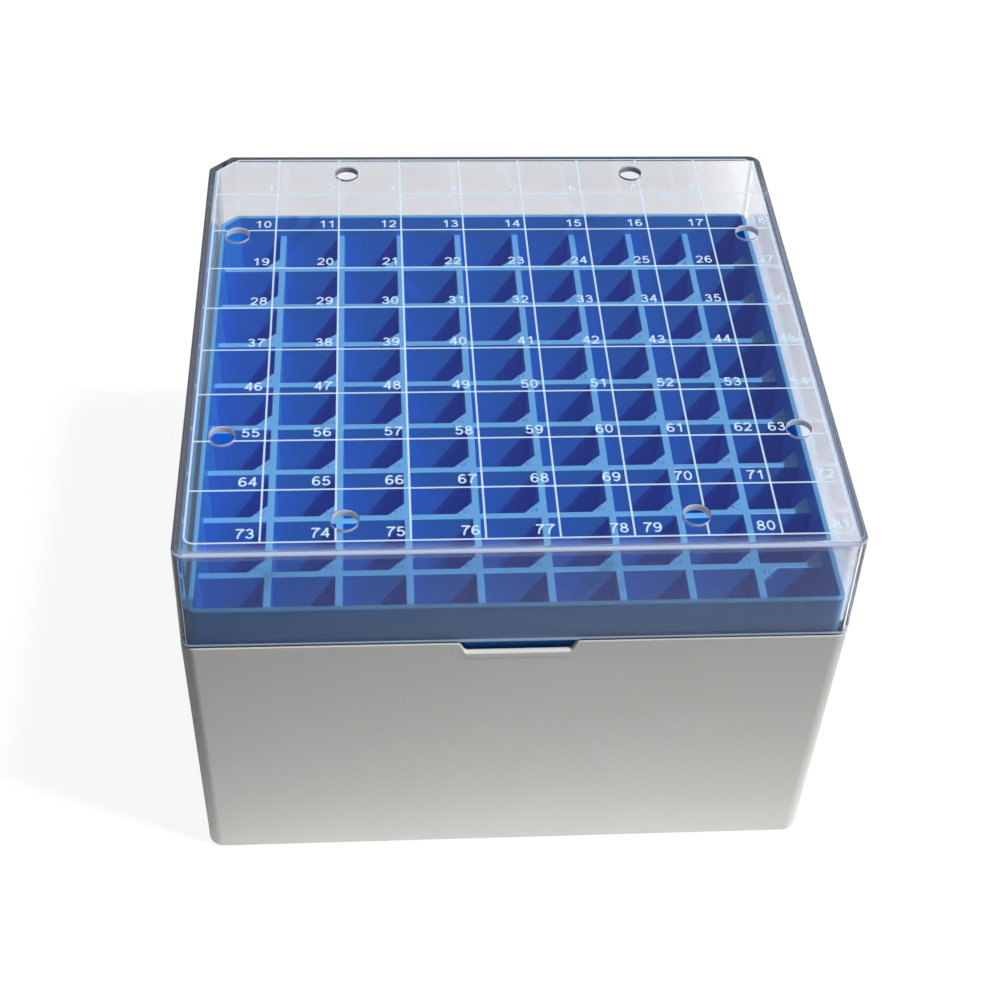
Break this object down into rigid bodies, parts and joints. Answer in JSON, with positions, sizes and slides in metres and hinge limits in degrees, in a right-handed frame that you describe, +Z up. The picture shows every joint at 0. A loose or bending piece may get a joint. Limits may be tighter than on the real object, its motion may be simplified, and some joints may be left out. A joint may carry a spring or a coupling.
{
  "type": "cryogenic storage box",
  "caption": "Square box for sample tubes in a cold store: opaque drafted base, lift-out grid of square wells and a clear vented lid with a keyed corner.",
  "frame": {"origin": "middle of the underside", "axes": "+Z up out of the lid, the front side faces -Y, the keyed corner is at -X and +Y"},
  "size_m": [0.133, 0.133, 0.093],
  "materials": {
    "base_shell": "satin moulded, white",
    "well_grid": "satin moulded, blue",
    "lid": "polished clear, faint grey"
  },
  "bodies": {
    "base": {"base_shell": "base_shell"},
    "grid": {"well_grid": "well_grid"},
    "lid": {"lid": "lid"}
  },
  "joints": [
    {"name": "grid_lift", "type": "slide", "parent": "base", "child": "grid", "axis": [0, 0, 1], "range_m": [0, 0.07]},
    {"name": "lid_lift", "type": "slide", "parent": "grid", "child": "lid", "axis": [0, 0, 1], "range_m": [0, 0.04]}
  ]
}
